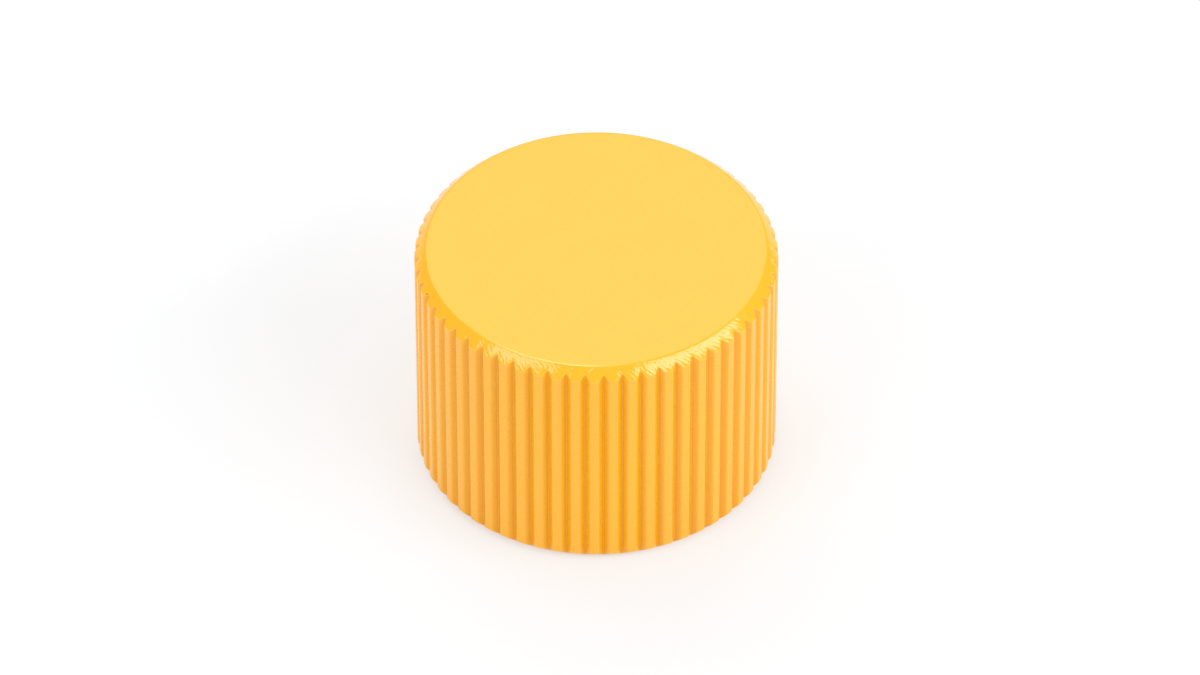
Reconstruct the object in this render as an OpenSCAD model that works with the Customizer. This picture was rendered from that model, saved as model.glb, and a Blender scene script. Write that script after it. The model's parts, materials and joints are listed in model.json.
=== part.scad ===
// Fluted knob for a keyboard's rotary encoder: a turned body and the set screw that grips the shaft.
// The underside stands on z = 0, the axis is Z, and the set screw faces +Y.

/* [Body] */
// Diameter over the crests of the grip
body_d = 19; // [17:0.5:24]
// Height from the underside to the top face
body_h = 13.5; // [12:0.1:18]
// Width of the 45 degree chamfer round the top face
top_chamfer = 0.6; // [0.4:0.05:1]
// Radius where the top face turns into its chamfer
top_edge_r = 0.16; // [0.04:0.02:0.2]
// Width of the 45 degree chamfer round the underside, wider than the grooves are deep
foot_chamfer = 0.4; // [0.4:0.05:1]
// Thickness of metal left between the bore and the top face
top_wall = 1.6; // [1:0.1:3]

/* [Grip] */
// Number of V grooves round the side
groove_count = 60; // [40:1:64]
// Depth of a groove below the crests
groove_depth = 0.27; // [0.15:0.01:0.35]
// Angle between the two walls of a groove
groove_angle = 90; // [70:5:100]
// Radius at the root of a groove
groove_root_r = 0.06; // [0.03:0.01:0.1]
// Radius on the two edges of a crest
crest_edge_r = 0.06; // [0.03:0.01:0.1]

/* [Shaft seat] */
// Diameter of the encoder shaft
shaft_d = 6; // [5:0.05:6.5]
// Clearance between the shaft and the bore, on the radius
shaft_gap = 0.03; // [0.01:0.01:0.05]
// Width of the lead-in chamfer at the mouth of the bore
bore_lead_in = 0.4; // [0.2:0.05:0.6]
// Diameter of the recess that clears the encoder's bushing and nut
recess_d = 13; // [11:0.5:14]
// Depth of that recess
recess_depth = 3; // [2:0.1:4]
// Width of the edge break at the mouth of the recess
recess_edge = 0.2; // [0.1:0.05:0.4]

/* [Set screw] */
// Outer diameter of the set screw's thread
screw_d = 3; // [2.5:0.5:3]
// Length of the set screw
screw_length = 5; // [4:0.5:5]
// Height of the set screw's axis above the floor of the recess
screw_rise = 4.2; // [3:0.1:5]
// Distance from the wall of the bore back to the screw's point
screw_setback = 0.25; // [0.1:0.05:0.4]
// Clearance between the screw and its hole, on the radius
screw_gap = 0.03; // [0.01:0.01:0.05]
// Distance across the flats of the hexagon socket
socket_flats = 1.5; // [1.3:0.1:1.5]
// Depth of the hexagon socket to its flat sides' end
socket_depth = 1.8; // [1.2:0.1:2]
// Diameter of the rim of the cup point
cup_d = 1.4; // [1:0.1:1.6]
// Depth of the thread, which is the width of the chamfer at the socket end
thread_depth = 0.3; // [0.2:0.05:0.35]

/* [Hidden] */
$fn = 96;

paint_colour = [0.98, 0.71, 0.24];
steel_colour = [0.24, 0.24, 0.26];

// How far a cutting or trimming shape runs past the face that it cuts
overrun = 1;
// Straight steps that stand for one small radius of an outline
arc_steps = 2;
// Full angle of a drill's point
drill_angle = 118;

body_r = body_d / 2;
groove_pitch = 360 / groove_count;
bore_r = shaft_d / 2 + shaft_gap;
bore_top = body_h - top_wall;
screw_z = recess_depth + screw_rise;
screw_r = screw_d / 2;
screw_hole_r = screw_r + screw_gap;
cup_r = cup_d / 2;
socket_corner_r = socket_flats / 2 / cos(30);

// Depth of a drilled cone of the given mouth radius
function drill_cone(mouth_r) = mouth_r / tan(drill_angle / 2);

// Points on an arc about a centre, between two angles
function arc(centre, radius, from, to) =
    [for (i = [0:arc_steps]) centre + radius * [cos(from + (to - from) * i / arc_steps),
                                                sin(from + (to - from) * i / arc_steps)]];

// A point turned about the origin
function turned(point, angle) =
    [point.x * cos(angle) - point.y * sin(angle), point.x * sin(angle) + point.y * cos(angle)];

// Half of a groove that points along +X, from the middle of its root to the crest circle.
// Its wall is a line from the sharp apex, tangent to the root radius and to the crest's edge radius.
function groove_half() =
    let (
        half = groove_angle / 2,
        root = [body_r - groove_depth + groove_root_r, 0],
        apex = [root.x - groove_root_r / sin(half), 0],
        along = [cos(half), sin(half)],
        into = [-sin(half), cos(half)],
        start = apex + crest_edge_r * into,
        reach = (body_r - crest_edge_r) ^ 2 - start * start + (start * along) ^ 2,
        edge = start + along * (sqrt(reach) - start * along)
    )
    concat(arc(root, groove_root_r, 180, 90 + half),
           arc(edge, crest_edge_r, half - 90, atan2(edge.y, edge.x)));

// The whole groove, in order round the knob
function groove_outline(half) =
    concat([for (i = [len(half) - 1:-1:1]) [half[i].x, -half[i].y]], half);

// Outline of the fluted side: the middle of each crest lies on the crest circle, with a groove after it
module grip_outline() {
    groove = groove_outline(groove_half());
    polygon([for (k = [0:groove_count - 1])
        each concat([turned([body_r, 0], k * groove_pitch)],
                    [for (p = groove) turned(p, (k + 0.5) * groove_pitch)])]);
}

// Half section of the turned blank, with the recess and the blind shaft bore in it.
// The cones at its two ends run on outwards past the crests, so that they also trim the grooves.
module blank_section() {
    recess_r = recess_d / 2;
    flat_r = body_r - top_chamfer - top_edge_r * tan(22.5);
    polygon(concat(
        [[recess_r + recess_edge, 0],
         [body_r - foot_chamfer, 0],
         [body_r + overrun, foot_chamfer + overrun],
         [body_r + overrun, body_h - top_chamfer - overrun]],
        arc([flat_r, body_h - top_edge_r], top_edge_r, 45, 90),
        [[0, body_h],
         [0, bore_top],
         [bore_r, bore_top],
         [bore_r, recess_depth + bore_lead_in],
         [bore_r + bore_lead_in, recess_depth],
         [recess_r, recess_depth],
         [recess_r, recess_edge]]));
}

// The grip's outline as a straight bar, longer than the knob at both ends
module grip_bar() {
    translate([0, 0, -overrun])
        linear_extrude(body_h + 2 * overrun)
            grip_outline();
}

// Places a shape drawn along Z on the set screw's axis, with z measured outwards from the knob's axis
module on_screw_axis() {
    translate([0, 0, screw_z])
        rotate([-90, 0, 0])
            children();
}

// The screw's hole, from inside the bore to the open air
module screw_hole() {
    on_screw_axis()
        cylinder(r = screw_hole_r, h = body_r + overrun);
}

module knob_body() {
    color(paint_colour)
        difference() {
            intersection() {
                rotate_extrude() blank_section();
                grip_bar();
            }
            screw_hole();
        }
}

// The set screw along +Z with its cup point at z = 0
module set_screw_blank() {
    difference() {
        rotate_extrude()
            polygon([[0, drill_cone(cup_r)],
                     [cup_r, 0],
                     [screw_r, screw_r - cup_r],
                     [screw_r, screw_length - thread_depth],
                     [screw_r - thread_depth, screw_length],
                     [0, screw_length]]);
        translate([0, 0, screw_length - socket_depth]) {
            cylinder(r = socket_corner_r, h = socket_depth + overrun, $fn = 6);
            mirror([0, 0, 1])
                cylinder(r1 = socket_flats / 2, r2 = 0, h = drill_cone(socket_flats / 2));
        }
    }
}

module set_screw() {
    color(steel_colour)
        on_screw_axis()
            translate([0, 0, bore_r + screw_setback])
                set_screw_blank();
}

knob_body();
set_screw();
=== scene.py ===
import json
import math

import bmesh
import bpy
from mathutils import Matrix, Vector


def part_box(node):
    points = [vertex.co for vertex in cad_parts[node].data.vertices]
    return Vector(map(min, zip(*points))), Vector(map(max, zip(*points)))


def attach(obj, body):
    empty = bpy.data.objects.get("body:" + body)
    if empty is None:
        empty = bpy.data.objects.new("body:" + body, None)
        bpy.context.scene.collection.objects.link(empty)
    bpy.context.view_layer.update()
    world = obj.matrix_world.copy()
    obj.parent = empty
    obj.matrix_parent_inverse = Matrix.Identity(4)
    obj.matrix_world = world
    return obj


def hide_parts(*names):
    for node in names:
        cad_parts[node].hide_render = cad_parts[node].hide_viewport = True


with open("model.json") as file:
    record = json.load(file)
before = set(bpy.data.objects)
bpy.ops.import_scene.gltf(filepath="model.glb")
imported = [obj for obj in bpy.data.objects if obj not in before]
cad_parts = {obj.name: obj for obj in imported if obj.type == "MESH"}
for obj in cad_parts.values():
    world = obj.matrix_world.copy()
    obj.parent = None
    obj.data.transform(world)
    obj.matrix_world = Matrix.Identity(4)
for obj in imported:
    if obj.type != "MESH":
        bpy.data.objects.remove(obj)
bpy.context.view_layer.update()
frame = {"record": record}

# Lengths are metres, as in the frame, and are written in millimetres times MM.
MM = 0.001

# Sizes that the frame gives
_, body_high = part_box("knob_body")
screw_low, screw_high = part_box("set_screw")
mounts = {mount["name"]: mount for mount in frame["record"]["mounts"]}


def bore_wall(name):
    """Radius, lowest and highest point of the wall of an upright bore mount."""
    mount = mounts[name]
    half_length = mount["dims"]["length_mm"] * MM / 2
    middle = mount["pos_m"][2]
    return mount["dims"]["r_mm"] * MM, middle - half_length, middle + half_length


RADIUS = body_high.x
HEIGHT = body_high.z
BORE_RADIUS, BORE_FOOT, BORE_TOP = bore_wall("shaft_bore")
RECESS_RADIUS, RECESS_FOOT, RECESS_TOP = bore_wall("bushing_recess")
SCREW_Z = (screw_low.z + screw_high.z) / 2
SCREW_RADIUS = (screw_high.z - screw_low.z) / 2
SCREW_POINT = screw_low.y
SCREW_LENGTH = screw_high.y - screw_low.y

# Grip, which starts as a circle of equal steps
GROOVES = 60
GROOVE_DEPTH = 0.27 * MM
GROOVE_HALF_ANGLE = math.radians(45)
GROOVE_ROOT_RADIUS = 0.06 * MM
CREST_EDGE_RADIUS = 0.06 * MM
PITCH = math.tau / GROOVES
STEPS_IN_PITCH = 3
STEP = PITCH / STEPS_IN_PITCH

# Ends of the body
CHAMFER_ANGLE = math.radians(45)
TOP_CHAMFER = 0.6 * MM
TOP_EDGE_RADIUS = 0.16 * MM
TOP_MARGIN = 0.3 * MM
FOOT_CHAMFER = 0.4 * MM
GROOVE_END_ROUND = 0.025 * MM
FLAT_RADIUS = RADIUS - TOP_CHAMFER
FOOT_RADIUS = RADIUS - FOOT_CHAMFER

# Set screw and its thread
THREAD_PITCH = 0.5 * MM
THREAD_STEPS = 40
THREAD_GAP = 0.02 * MM
SPARE_TURNS = 2
SOCKET_FLATS = 1.5 * MM
SOCKET_DEPTH = 1.8 * MM
HEXAGON = 6
CUP_RADIUS = 0.7 * MM
DRILL_POINT = 0.42 * MM
SCREW_CHAMFER = 0.3 * MM

# Tapped hole, and the zone round it in the wall of the bore
HOLE_GAP = 0.03 * MM
HOLE_MARGIN = 0.1 * MM
HOLE_RADIUS = SCREW_RADIUS + HOLE_GAP
HOLE_ZONE = HOLE_RADIUS + HOLE_MARGIN

# How far a cutter runs past the piece that it cuts
OVERRUN = 1 * MM

# Points closer than this are one point
WELD = 0.0004 * MM


def deselect_everything():
    """Leaves no object selected, so that an operator acts on the new piece alone."""
    bpy.ops.object.select_all(action="DESELECT")


def activate(piece):
    """Makes one object the selected and active one."""
    deselect_everything()
    piece.select_set(True)
    bpy.context.view_layer.objects.active = piece


def named(name):
    """The object that an add operator has just made, under its own name."""
    piece = bpy.context.object
    piece.name = name
    piece.data.name = name
    return piece


def edit_mode():
    bpy.ops.object.mode_set(mode="EDIT")


def object_mode():
    bpy.ops.object.mode_set(mode="OBJECT")


def pick(piece, test):
    """Selects, in edit mode, the vertices whose place passes the test."""
    bpy.ops.mesh.select_all(action="DESELECT")
    mesh = bmesh.from_edit_mesh(piece.data)
    for vertex in mesh.verts:
        vertex.select_set(test(vertex.co))
    mesh.select_flush(True)
    bmesh.update_edit_mesh(piece.data)


def ring_of(place):
    """The number of the ring round the axis that a place is on, in steps of the welding distance."""
    return round(place.xy.length / WELD)


def rings(piece, test):
    """The numbers of the rings that hold the vertices whose place passes the test."""
    mesh = bmesh.from_edit_mesh(piece.data)
    return sorted({ring_of(vertex.co) for vertex in mesh.verts if test(vertex.co)})


def move(x=0, y=0, z=0):
    bpy.ops.transform.translate(value=(x, y, z))


def turn(axis, angle):
    """Turns the selection about an axis through the origin. The operator counts clockwise as positive."""
    bpy.ops.transform.rotate(value=-angle, orient_axis=axis, center_override=(0, 0, 0))


def extrude(x=0, y=0, z=0):
    bpy.ops.mesh.extrude_region_move(TRANSFORM_OT_translate={"value": (x, y, z)})


def scale(x, y, z):
    bpy.ops.transform.resize(value=(x, y, z), center_override=(0, 0, 0))


def weld():
    """Joins points that lie together and turns all faces outwards."""
    bpy.ops.mesh.select_all(action="SELECT")
    bpy.ops.mesh.remove_doubles(threshold=WELD)
    bpy.ops.mesh.normals_make_consistent(inside=False)


def to_circle(piece, radius, z):
    """Brings the selected ring to a circle about the axis, at one height."""
    scale(1, 1, 0)
    move(z=z)
    bpy.ops.transform.tosphere(value=1)
    mesh = bmesh.from_edit_mesh(piece.data)
    now = next(vertex.co.xy.length for vertex in mesh.verts if vertex.select)
    scale(radius / now, radius / now, 1)


def extrude_ring(piece, radius, z):
    """Extrudes the selected ring to a circle of the given radius and height."""
    extrude()
    to_circle(piece, radius, z)


def use_modifier(piece, kind, **settings):
    """Adds a modifier with its settings and applies it."""
    activate(piece)
    modifier = piece.modifiers.new(kind.lower(), kind)
    for key, value in settings.items():
        setattr(modifier, key, value)
    bpy.ops.object.modifier_apply(modifier=modifier.name)


def use_cutter(piece, cutter, operation):
    """Cuts or trims a piece with another, which is then deleted."""
    use_modifier(piece, "BOOLEAN", object=cutter, operation=operation, solver="EXACT")
    bpy.data.objects.remove(cutter)


def draw_profile(name, points):
    """A wire through points (radius, z), drawn from one vertex by extruding it."""
    deselect_everything()
    bpy.ops.mesh.primitive_plane_add(size=MM)
    profile = named(name)
    edit_mode()
    bpy.ops.mesh.merge(type="CENTER")
    move(x=points[0][0], z=points[0][1])
    for (from_x, from_z), (to_x, to_z) in zip(points, points[1:]):
        extrude(x=to_x - from_x, z=to_z - from_z)
    object_mode()
    return profile


def turn_profile(profile, steps):
    """Spins a profile about Z into a closed turned shape."""
    activate(profile)
    edit_mode()
    bpy.ops.mesh.select_all(action="SELECT")
    bpy.ops.mesh.spin(steps=steps, angle=math.tau, center=(0, 0, 0), axis=(0, 0, 1))
    weld()
    object_mode()


def lay_on_screw_axis(piece):
    """Turns a shape drawn along Z to point along +Y, at the height of the screw."""
    activate(piece)
    edit_mode()
    bpy.ops.mesh.select_all(action="SELECT")
    turn("X", math.radians(-90))
    move(z=SCREW_Z)
    object_mode()


def within_pitch(place):
    """How far round its pitch a place is, from 0 at the middle of a crest to 1 at the middle of the next."""
    return (math.atan2(place.y, place.x) / PITCH) % 1


def draw_grip_outline(body):
    """Shapes the circle into V grooves, from a root and two edges a pitch, and rounds their corners."""
    sine = math.sin(GROOVE_HALF_ANGLE)
    apex = RADIUS - GROOVE_DEPTH + GROOVE_ROOT_RADIUS - GROOVE_ROOT_RADIUS / sine
    wall_length = math.sqrt(RADIUS ** 2 - (apex * sine) ** 2) - apex * math.cos(GROOVE_HALF_ANGLE)
    half_groove = math.asin(wall_length * sine / RADIUS)

    def past_root(place):
        return within_pitch(place) - 1 / 2

    def is_root(place):
        return abs(past_root(place)) < 1 / 2 / STEPS_IN_PITCH

    pick(body, is_root)
    scale(apex / RADIUS, apex / RADIUS, 1)
    for side in (1, -1):
        pick(body, lambda place: not is_root(place) and past_root(place) * side > 0)
        turn("Z", side * (half_groove - STEP))
    pick(body, is_root)
    bpy.ops.mesh.bevel(offset=GROOVE_ROOT_RADIUS, segments=4, affect="VERTICES")
    pick(body, lambda place: place.xy.length > RADIUS - WELD)
    edge_offset = CREST_EDGE_RADIUS * math.tan(GROOVE_HALF_ANGLE / 2)
    bpy.ops.mesh.bevel(offset=edge_offset, segments=3, affect="VERTICES")


def is_high(place):
    return place.z > HEIGHT / 2


def is_low(place):
    return place.z < HEIGHT / 2


def raise_grip(body):
    """Extrudes the outline to the full grip and lets each groove run out into the top chamfer."""
    bpy.ops.mesh.select_all(action="SELECT")
    extrude(z=HEIGHT - TOP_CHAMFER)
    for ring in rings(body, is_high):
        pick(body, lambda place: is_high(place) and ring_of(place) == ring)
        move(z=RADIUS - ring * WELD)


def close_top(body):
    """The chamfer, and the flat top face with a narrow margin that keeps its edge crisp."""
    pick(body, is_high)
    extrude_ring(body, FLAT_RADIUS, HEIGHT)
    extrude_ring(body, FLAT_RADIUS - TOP_MARGIN, HEIGHT)
    bpy.ops.mesh.edge_face_add()


def turn_underside(body):
    """Foot chamfer, underside, recess and blind bore, whose wall has rings below and above the hole."""
    for ring in rings(body, is_low):
        if ring * WELD > FOOT_RADIUS:
            pick(body, lambda place: is_low(place) and ring_of(place) == ring)
            move(z=ring * WELD - FOOT_RADIUS)
    pick(body, is_low)
    extrude()
    scale(1, 1, 0)
    pick(body, lambda place: place.z < WELD and place.xy.length > FOOT_RADIUS)
    to_circle(body, FOOT_RADIUS, 0)
    weld()
    pick(body, lambda place: place.z < WELD)
    extrude_ring(body, RECESS_RADIUS + RECESS_FOOT, 0)
    extrude_ring(body, RECESS_RADIUS, RECESS_FOOT)
    extrude_ring(body, RECESS_RADIUS, RECESS_TOP)
    extrude_ring(body, BORE_RADIUS + BORE_FOOT - RECESS_TOP, RECESS_TOP)
    for height in (BORE_FOOT, SCREW_Z - HOLE_ZONE, SCREW_Z + HOLE_ZONE, BORE_TOP):
        extrude_ring(body, BORE_RADIUS, height)
    bpy.ops.mesh.edge_face_add()


def round_top_edges(body):
    """Rounds the zigzag where grooves and crests meet the chamfer, and the rim of the top face."""
    pick(body, lambda place: is_high(place) and place.xy.length > FLAT_RADIUS + WELD)
    bpy.ops.mesh.bevel(offset=GROOVE_END_ROUND, segments=3, affect="EDGES")
    pick(body, lambda place: is_high(place) and abs(place.xy.length - FLAT_RADIUS) < WELD)
    edge_offset = TOP_EDGE_RADIUS * math.tan(CHAMFER_ANGLE / 2)
    bpy.ops.mesh.bevel(offset=edge_offset, segments=5, affect="EDGES")


def threaded_rod(name, radius, start, end):
    """A rod along Z with a metric thread of the given outer radius, cut off square at both ends."""
    depth = THREAD_PITCH * 5 / 8 * math.cos(math.radians(30))
    crest = THREAD_PITCH / 8
    root = THREAD_PITCH / 4
    flank = (THREAD_PITCH - crest - root) / 2
    steps = (0, root / 2, flank, crest, flank, root / 2)
    levels = [radius - depth, radius - depth, radius, radius, radius - depth, radius - depth]
    heights = [sum(steps[:count + 1]) for count in range(len(steps))]
    first_turn = math.floor(start / THREAD_PITCH) - SPARE_TURNS
    turns = math.ceil((end - start) / THREAD_PITCH) + 2 * SPARE_TURNS
    points = [(level, first_turn * THREAD_PITCH + height) for level, height in zip(levels, heights)]
    rod = draw_profile(name, points)
    use_modifier(rod, "SCREW", axis="Z", screw_offset=THREAD_PITCH, iterations=turns,
                 steps=THREAD_STEPS, render_steps=THREAD_STEPS,
                 use_merge_vertices=True, merge_threshold=WELD)
    edit_mode()
    weld()
    for height, outward in ((start, -1), (end, 1)):
        bpy.ops.mesh.select_all(action="SELECT")
        bpy.ops.mesh.bisect(plane_co=(0, 0, height), plane_no=(0, 0, outward),
                            use_fill=True, clear_outer=True)
    weld()
    object_mode()
    return rod


def make_body():
    """The turned and fluted body, with the tapped hole for its set screw."""
    deselect_everything()
    bpy.ops.mesh.primitive_circle_add(vertices=STEPS_IN_PITCH * GROOVES, radius=RADIUS,
                                      rotation=(0, 0, STEP / 2))
    bpy.ops.object.transform_apply(rotation=True)
    body = named("fluted_body")
    edit_mode()
    draw_grip_outline(body)
    raise_grip(body)
    close_top(body)
    turn_underside(body)
    round_top_edges(body)
    weld()
    object_mode()
    tap = threaded_rod("tap", HOLE_RADIUS, 0, RADIUS + OVERRUN)
    lay_on_screw_axis(tap)
    use_cutter(body, tap, "DIFFERENCE")
    return body


def make_socket_cutter():
    """A hexagon key's shape with the drilled point below it."""
    corner_radius = SOCKET_FLATS / 2 / math.cos(math.pi / HEXAGON)
    length = SOCKET_DEPTH + OVERRUN
    floor_z = SCREW_POINT + SCREW_LENGTH - SOCKET_DEPTH
    deselect_everything()
    bpy.ops.mesh.primitive_cylinder_add(vertices=HEXAGON, radius=corner_radius, depth=length,
                                        location=(0, 0, floor_z + length / 2))
    bpy.ops.object.transform_apply(location=True)
    cutter = named("socket_cutter")
    edit_mode()
    pick(cutter, lambda place: place.z < floor_z + WELD)
    extrude(z=-DRILL_POINT)
    bpy.ops.mesh.merge(type="CENTER")
    weld()
    object_mode()
    return cutter


def make_screw():
    """The grub screw: thread, cup point, chamfered end and hexagon socket."""
    point = SCREW_POINT
    end = SCREW_POINT + SCREW_LENGTH
    screw = threaded_rod("grub_screw", SCREW_RADIUS - THREAD_GAP, point - OVERRUN, end + OVERRUN)
    blank = draw_profile("screw_blank", [
        (0, point + DRILL_POINT),
        (CUP_RADIUS, point),
        (SCREW_RADIUS, point + SCREW_RADIUS - CUP_RADIUS),
        (SCREW_RADIUS, end - SCREW_CHAMFER),
        (SCREW_RADIUS - SCREW_CHAMFER, end),
        (0, end),
    ])
    turn_profile(blank, THREAD_STEPS)
    use_cutter(screw, blank, "INTERSECT")
    use_cutter(screw, make_socket_cutter(), "DIFFERENCE")
    lay_on_screw_axis(screw)
    return screw


def finish_mesh(piece, smooth_angle):
    """Cleans a piece's mesh and smooths it across edges blunter than an angle, with its flats kept flat."""
    activate(piece)
    edit_mode()
    weld()
    object_mode()
    bpy.ops.object.shade_smooth_by_angle(angle=math.radians(smooth_angle))
    use_modifier(piece, "WEIGHTED_NORMAL", keep_sharp=True, weight=100)


body = make_body()
finish_mesh(body, smooth_angle=40)
screw = make_screw()
finish_mesh(screw, smooth_angle=35)


class Term:
    """A number or colour that a material works out: arithmetic on numbers adds Math nodes."""

    def __init__(self, finish, socket):
        self.finish = finish
        self.socket = socket

    def __add__(self, other):
        return self.finish.maths("ADD", self, other)

    def __sub__(self, other):
        return self.finish.maths("SUBTRACT", self, other)

    def __rsub__(self, other):
        return self.finish.maths("SUBTRACT", other, self)

    def __mul__(self, other):
        return self.finish.maths("MULTIPLY", self, other)

    def __pow__(self, other):
        return self.finish.maths("POWER", self, other)

    __radd__ = __add__
    __rmul__ = __mul__


class Finish:
    """The nodes of one material or world, with lengths in millimetres."""

    def __init__(self, owner):
        owner.use_nodes = True
        self.owner = owner
        self.tree = owner.node_tree
        self.tree.nodes.clear()

    def add(self, kind, settings=None, inputs=None, output=0):
        """Adds a node: first its settings, then the value or link of each named socket."""
        node = self.tree.nodes.new("ShaderNode" + kind)
        for key, value in (settings or {}).items():
            setattr(node, key, value)
        for key, value in (inputs or {}).items():
            if isinstance(value, Term):
                self.tree.links.new(value.socket, node.inputs[key])
            else:
                node.inputs[key].default_value = value
        return Term(self, node.outputs[output]) if node.outputs else None

    def maths(self, operation, *values):
        return self.add("Math", {"operation": operation}, dict(enumerate(values)))

    def place(self):
        """Where a point of the piece is."""
        object_place = self.add("TexCoord", output="Object")
        return self.add("VectorMath", {"operation": "SCALE"}, {0: object_place, "Scale": 1 / MM})

    def split(self, vector):
        """The three numbers of a vector."""
        return [self.add("SeparateXYZ", inputs={0: vector}, output=axis) for axis in "XYZ"]

    def distance(self, place, other):
        return self.add("VectorMath", {"operation": "DISTANCE"}, {0: place, 1: other}, output="Value")

    def step(self, value, start, end):
        """Rises smoothly from 0 to 1 as the value goes from start to end."""
        settings = {"interpolation_type": "SMOOTHSTEP"}
        return self.add("MapRange", settings, {"Value": value, "From Min": start, "From Max": end})

    def past(self, value, edge, band):
        """Rises smoothly from 0 to 1 as the value crosses a band of distances beyond an edge."""
        start, end = band
        return self.step(value, edge + start, edge + end)

    def noise(self, place, size, detail):
        """Noise from 0 to 1 with features of the given size."""
        return self.add("TexNoise", inputs={"Vector": place, "Scale": 1 / size, "Detail": detail})

    def spot(self, place, centre, size):
        """1 within a small spot of the given size round a place, and 0 away from it."""
        return self.step(self.distance(place, centre), size / 2, size / 4)

    def streak(self, place, start, end, width):
        """1 along a thin streak between two places, and 0 away from it."""
        detour = self.distance(place, start) + self.distance(place, end)
        length = math.dist(start, end)
        limit = math.hypot(length, width)
        return self.step(detour, limit, (limit + length) / 2)

    def mix(self, share, one, other):
        """One colour, with a share of another."""
        return self.add("Mix", {"data_type": "RGBA"}, {0: share, 6: one, 7: other}, output=2)

    def blend(self, share, one, other):
        """One shader, with a share of another."""
        return self.add("MixShader", inputs={0: share, 1: one, 2: other})

    def bump(self, height):
        """A normal for a relief of the given height."""
        return self.add("Bump", inputs={"Strength": 1, "Distance": MM, "Height": height})

    def surface(self, shader):
        kind = "OutputWorld" if isinstance(self.owner, bpy.types.World) else "OutputMaterial"
        self.add(kind, inputs={"Surface": shader})


# Colours of the body, with painted shade on the sides, in the grooves and at their roots, and a painted
# highlight along the groove ends
PAINT = (0.97, 0.488, 0.028, 1)
PAINT_WARM = (0.97, 0.473, 0.026, 1)
SIDE_SHADE = (0.96, 0.457, 0.026, 1)
GROOVE_SHADE = (0.90, 0.42, 0.006, 1)
ROOT_SHADE = (0.88, 0.39, 0.004, 1)
EDGE_HIGHLIGHT = (0.97, 0.60, 0.10, 1)
PAINT_CHIP = (0.98, 0.75, 0.40, 1)
GRIME = (0.30, 0.13, 0.02, 1)
BARE_ALUMINIUM = (0.78, 0.78, 0.79, 1)

# Small marks that the photograph shows: place and size, in millimetres
DARK_SPECKS = [((-8.753, -3.19, 13.083), 0.12), ((0.402, -9.45, 8.605), 0.14)]
PALE_SPECKS = [((3.53, -8.82, 2.88), 0.16), ((3.9, -8.66, 2.29), 0.12)]
SCRATCH = ((-0.3, -9.15, 13.25), (-0.06, -8.98, 13.42), 0.07)

# How strongly the pale marks and the painted highlight along the groove ends show
PALE_MARK_AND_HIGHLIGHT_SHARE = 0.5

# Bands in which the body's finish changes: distances beyond an edge, from and to, in millimetres
HOLE_BAND = (0, 0.03)
BACK_BAND = (0, 0.5)
BORE_BAND = (0.05, 0.35)
BORE_END_BAND = (0.1, 0.3)
RIM_BAND = (-0.05, -0.02)
GROOVE_TOP_BAND = (-0.3, -0.25)
CHAMFER_BAND = (-0.02, -0.01)
EDGE_HIGHLIGHT_BAND = (-0.09, -0.04)
GROOVE_BAND = (-0.04, -0.1)
RIPPLE_BAND = (0.03, 0.1)

# Reach of the painted shade above the root of a groove, least and varying, in millimetres
ROOT_REACH = 0.03
ROOT_REACH_VARIES = 0.06

# Noises of the body's finish: size of the features in millimetres, and their detail
CLOUD = (1.6, 2)
GRAIN = (0.07, 3)
PEEL = (0.22, 2)
ROOT_PATCHES = (0.3, 4)
RIPPLE_WANDER = (0.5, 2)
RIPPLE_PATCHES = (0.9, 2)

# Tool ripples on the chamfer: their number round the knob, their slant and how far they wander
RIPPLES = 200
RIPPLE_SLANT = 30
RIPPLE_SWAY = 12

# Heights of the relief, in millimetres
GRAIN_HEIGHT = 0.0012
PEEL_HEIGHT = 0.0016
RIPPLE_HEIGHT = 0.0044

# Roughness of the paint, and what the grain, bare metal and the chamfer add to it or take off
PAINT_ROUGHNESS = 0.25
GRAIN_ROUGHNESS = 0.06
BARE_ROUGHNESS = 0.05
CHAMFER_GLOSS = 0.17


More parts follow.
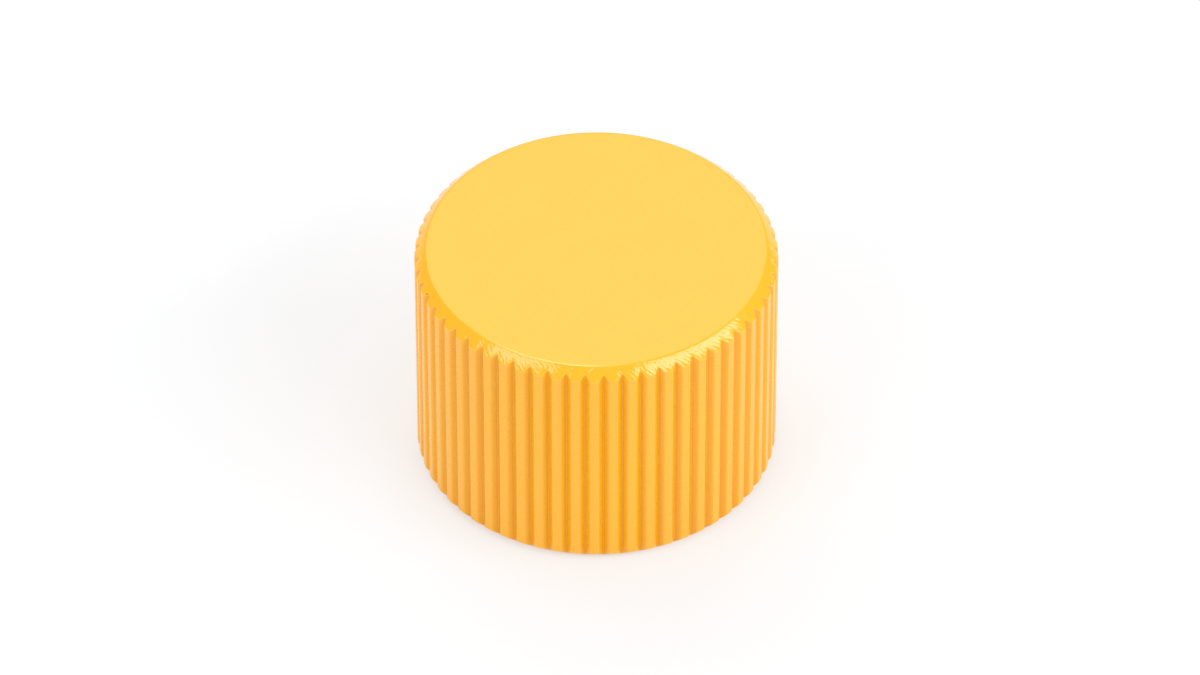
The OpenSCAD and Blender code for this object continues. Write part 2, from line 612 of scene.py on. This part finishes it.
def paint_finish():
    """Satin yellow-orange coat on turned aluminium, left bare where the shaft and the screw go, with painted
    shade on the sides and in the grooves and a painted highlight along the groove ends.
    """
    finish = Finish(bpy.data.materials.new("knob_paint"))
    place = finish.place()
    x, y, z = finish.split(place)
    radius = (x * x + y * y) ** 0.5
    crest = RADIUS / MM
    rim = FLAT_RADIUS / MM
    top = HEIGHT / MM

    from_screw_axis = (x * x + (z - SCREW_Z / MM) ** 2) ** 0.5
    in_hole = 1 - finish.past(from_screw_axis, HOLE_RADIUS / MM, HOLE_BAND)
    at_back = finish.past(y, 0, BACK_BAND)
    in_bore = 1 - finish.past(radius, BORE_RADIUS / MM, BORE_BAND)
    below_bore_end = 1 - finish.past(z, BORE_TOP / MM, BORE_END_BAND)
    bare = finish.maths("MAXIMUM", in_bore * below_bore_end, in_hole * at_back)

    above_cone = (z - top) + (radius - rim)
    outside = finish.past(radius, rim, RIM_BAND)
    above_grooves = finish.past(z, top, GROOVE_TOP_BAND)
    on_cone = finish.past(above_cone, 0, CHAMFER_BAND)
    on_chamfer = outside * finish.maths("MAXIMUM", above_grooves, on_cone)
    below_chamfer = outside * (1 - on_chamfer)
    # Painted highlight: a pale band just below the chamfer, along the zigzag where grooves and crests run
    # out
    edge_highlight = finish.past(above_cone, 0, EDGE_HIGHLIGHT_BAND) * below_chamfer
    # Painted shade: the share of darker paint down the walls of the grooves
    groove_shade = finish.past(radius, crest, GROOVE_BAND) * below_chamfer * (1 - edge_highlight)
    above_root = radius - (RADIUS - GROOVE_DEPTH) / MM
    root_reach = ROOT_REACH + finish.noise(place, *ROOT_PATCHES) * ROOT_REACH_VARIES
    root_shade = finish.step(above_root, root_reach, 0) * groove_shade

    coat = finish.mix(finish.noise(place, *CLOUD), PAINT, PAINT_WARM)
    # Painted shade: the sides below the chamfer take a darker copy of the paint
    coat = finish.mix(below_chamfer, coat, SIDE_SHADE)
    # Painted shade: darker paint in the grooves
    coat = finish.mix(groove_shade, coat, GROOVE_SHADE)
    # Painted shade: darkest along the roots of the grooves
    coat = finish.mix(root_shade, coat, ROOT_SHADE)
    # Painted highlight along the groove ends
    coat = finish.mix(edge_highlight * PALE_MARK_AND_HIGHLIGHT_SHARE, coat, EDGE_HIGHLIGHT)
    for centre, size in DARK_SPECKS:
        coat = finish.mix(finish.spot(place, centre, size), coat, GRIME)
    for centre, size in PALE_SPECKS:
        coat = finish.mix(finish.spot(place, centre, size) * PALE_MARK_AND_HIGHLIGHT_SHARE, coat, PAINT_CHIP)
    coat = finish.mix(finish.streak(place, *SCRATCH) * PALE_MARK_AND_HIGHLIGHT_SHARE, coat, PAINT_CHIP)

    angle = finish.maths("ARCTAN2", x, y)
    wander = finish.noise(place, *RIPPLE_WANDER)
    waves = finish.maths("SINE", angle * RIPPLES + radius * RIPPLE_SLANT + wander * RIPPLE_SWAY)
    beyond_rim = finish.past(radius, rim, RIPPLE_BAND)
    ripples = waves * on_chamfer * beyond_rim * finish.noise(place, *RIPPLE_PATCHES)

    grain = finish.noise(place, *GRAIN)
    peel = finish.noise(place, *PEEL)
    roughness = PAINT_ROUGHNESS + grain * GRAIN_ROUGHNESS + bare * BARE_ROUGHNESS
    shader = finish.add("BsdfPrincipled", inputs={
        "Base Color": finish.mix(bare, coat, BARE_ALUMINIUM),
        "Metallic": bare,
        "Roughness": roughness - on_chamfer * CHAMFER_GLOSS,
        "Normal": finish.bump(grain * GRAIN_HEIGHT + peel * PEEL_HEIGHT + ripples * RIPPLE_HEIGHT),
    })
    finish.surface(shader)
    return finish.owner


# Finish of the screw, written as that of the body is
BLACK_OXIDE = (0.035, 0.035, 0.04, 1)
WORN_STEEL = (0.16, 0.16, 0.17, 1)
WORN_PATCHES = (0.5, 4)
WORN_FROM = 0.5
WORN_TO = 0.75
OXIDE_GRAIN = (0.05, 3)
OXIDE_GRAIN_HEIGHT = 0.001
OXIDE_METALLIC = 0.9
OXIDE_ROUGHNESS = 0.34
OXIDE_GRAIN_ROUGHNESS = 0.14


def oxide_finish():
    """Black oxide on the screw's steel, rubbed brighter in patches."""
    finish = Finish(bpy.data.materials.new("screw_oxide"))
    place = finish.place()
    worn = finish.step(finish.noise(place, *WORN_PATCHES), WORN_FROM, WORN_TO)
    grain = finish.noise(place, *OXIDE_GRAIN)
    shader = finish.add("BsdfPrincipled", inputs={
        "Base Color": finish.mix(worn, BLACK_OXIDE, WORN_STEEL),
        "Metallic": OXIDE_METALLIC,
        "Roughness": OXIDE_ROUGHNESS + grain * OXIDE_GRAIN_ROUGHNESS,
        "Normal": finish.bump(grain * OXIDE_GRAIN_HEIGHT),
    })
    finish.surface(shader)
    return finish.owner


def dress(piece, material, node):
    """Gives a piece its finish and puts it in place of a CAD node."""
    piece.data.materials.clear()
    piece.data.materials.append(material)
    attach(piece, "root")
    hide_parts(node)


dress(body, paint_finish(), "knob_body")
dress(screw, oxide_finish(), "set_screw")

# Camera, from a fit of the knob's outline in the photograph
LENS = 278.3
CAMERA_DISTANCE = 487.9 * MM
CAMERA_AZIMUTH = math.radians(0.7)
CAMERA_ELEVATION = math.radians(43.68)
CAMERA_NEAR = 10 * MM
CAMERA_FAR = 5000 * MM
AIM_BELOW_TOP = 6.565 * MM
AIM_RIGHT = 0.188 * MM
AIM_UP = 0.057 * MM

centre = Vector((0, 0, HEIGHT - AIM_BELOW_TOP))


def direction(azimuth, elevation):
    """Unit vector towards a place round the knob: azimuth 0 is the front, and positive is to the right."""
    return Vector((math.sin(azimuth) * math.cos(elevation),
                   -math.cos(azimuth) * math.cos(elevation),
                   math.sin(elevation)))


def point_at(thing, place, target):
    """Puts a camera or a lamp at a place and faces it to a target."""
    thing.location = place
    thing.rotation_euler = (target - place).to_track_quat("-Z", "Y").to_euler()


def make_camera():
    """The photograph's camera, which aims a little beside and above the centre."""
    bpy.ops.object.camera_add()
    camera = bpy.context.object
    camera.name = "photo_camera"
    camera.data.lens = LENS
    camera.data.clip_start = CAMERA_NEAR
    camera.data.clip_end = CAMERA_FAR
    place = centre + CAMERA_DISTANCE * direction(CAMERA_AZIMUTH, CAMERA_ELEVATION)
    point_at(camera, place, centre)
    facing = camera.rotation_euler.to_matrix()
    point_at(camera, place, centre + facing @ Vector((AIM_RIGHT, AIM_UP, 0)))
    bpy.context.scene.camera = camera


def softbox(name, azimuth, elevation, distance, width, height, radiance, tilt=0):
    """A lit panel that faces the knob. Its radiance is 1 where it would look plain white."""
    bpy.ops.object.light_add(type="AREA")
    lamp = bpy.context.object
    lamp.name = name
    lamp.data.shape = "RECTANGLE"
    lamp.data.size = width
    lamp.data.size_y = height
    lamp.data.energy = radiance * math.pi * width * height
    place = centre + distance * direction(math.radians(azimuth), math.radians(elevation))
    point_at(lamp, place, centre)
    lamp.rotation_euler.rotate_axis("Z", math.radians(tilt))
    lamp.visible_camera = False


# Studio: the floor and its share of plain white, the light all round, and the room that reflections see
WHITE = (1, 1, 1, 1)
FLOOR_COLOUR = (0.82, 0.84, 0.86, 1)
FLOOR_FADE = 0.5
AMBIENT = 0.78
ROOM_RADIUS = 1500 * MM
WALL_GLOW = 0.08
CEILING_GLOW = 6

# Where the ceiling begins, upwards and from right to left, as shares of the room's radius
CEILING_UP = (0.83, 0.94)
CEILING_LEFT = (0.2, -0.1)


def seen_directly(finish):
    """1 for a ray from the camera, or one that a mirror or glass sends on."""
    rays = [finish.add("LightPath", output=name) for name in
            ("Is Camera Ray", "Is Glossy Ray", "Is Transmission Ray")]
    return finish.maths("MAXIMUM", finish.maths("MAXIMUM", rays[0], rays[1]), rays[2])


def make_floor():
    """A white table that fades to pure white where nothing shades it, and can be seen through from below."""
    bpy.ops.mesh.primitive_circle_add(vertices=96, radius=ROOM_RADIUS, fill_type="NGON")
    floor = named("floor")
    finish = Finish(bpy.data.materials.new("white_table"))
    table = finish.add("BsdfDiffuse", inputs={"Color": FLOOR_COLOUR})
    glow = finish.add("Emission", inputs={"Color": WHITE, "Strength": 1})
    lit = finish.blend(seen_directly(finish) * FLOOR_FADE, table, glow)
    below = finish.add("NewGeometry", output="Backfacing")
    clear = finish.add("BsdfTransparent")
    finish.surface(finish.blend(below, lit, clear))
    floor.data.materials.append(finish.owner)


def make_dark_room():
    """The dim studio with a bright ceiling on the left, which only reflections see."""
    bpy.ops.mesh.primitive_uv_sphere_add(segments=32, ring_count=16, radius=ROOM_RADIUS)
    room = named("dark_room")
    finish = Finish(bpy.data.materials.new("dim_walls"))
    x, _, z = finish.split(finish.place())

    def within(value, shares):
        start, end = [share * ROOM_RADIUS / MM for share in shares]
        return finish.step(value, start, end)

    ceiling = within(z, CEILING_UP) * within(x, CEILING_LEFT)
    walls = finish.add("Emission", inputs={"Color": WHITE, "Strength": WALL_GLOW})
    panel = finish.add("Emission", inputs={"Color": WHITE, "Strength": CEILING_GLOW})
    finish.surface(finish.blend(ceiling, walls, panel))
    room.data.materials.append(finish.owner)
    room.visible_camera = False
    room.visible_diffuse = False
    room.visible_shadow = False
    room.visible_transmission = False


def make_world():
    """Even light from all round, behind which the camera sees plain white."""
    world = bpy.data.worlds.new("studio")
    bpy.context.scene.world = world
    finish = Finish(world)
    light = finish.add("Background", inputs={"Color": WHITE, "Strength": AMBIENT})
    backdrop = finish.add("Background", inputs={"Color": WHITE, "Strength": 1})
    finish.surface(finish.blend(seen_directly(finish), light, backdrop))


deselect_everything()
make_camera()
make_floor()
make_dark_room()
make_world()
softbox("key_softbox", azimuth=64, elevation=38, distance=0.6,
        width=0.62, height=0.14, radiance=6.2, tilt=-18)
softbox("fill_softbox", azimuth=-50.5, elevation=40.5, distance=0.6,
        width=0.34, height=0.13, radiance=4.4, tilt=15)
softbox("back_softbox", azimuth=-160, elevation=45, distance=0.7,
        width=0.9, height=0.35, radiance=1.5)

bpy.context.scene.view_settings.view_transform = "Standard"
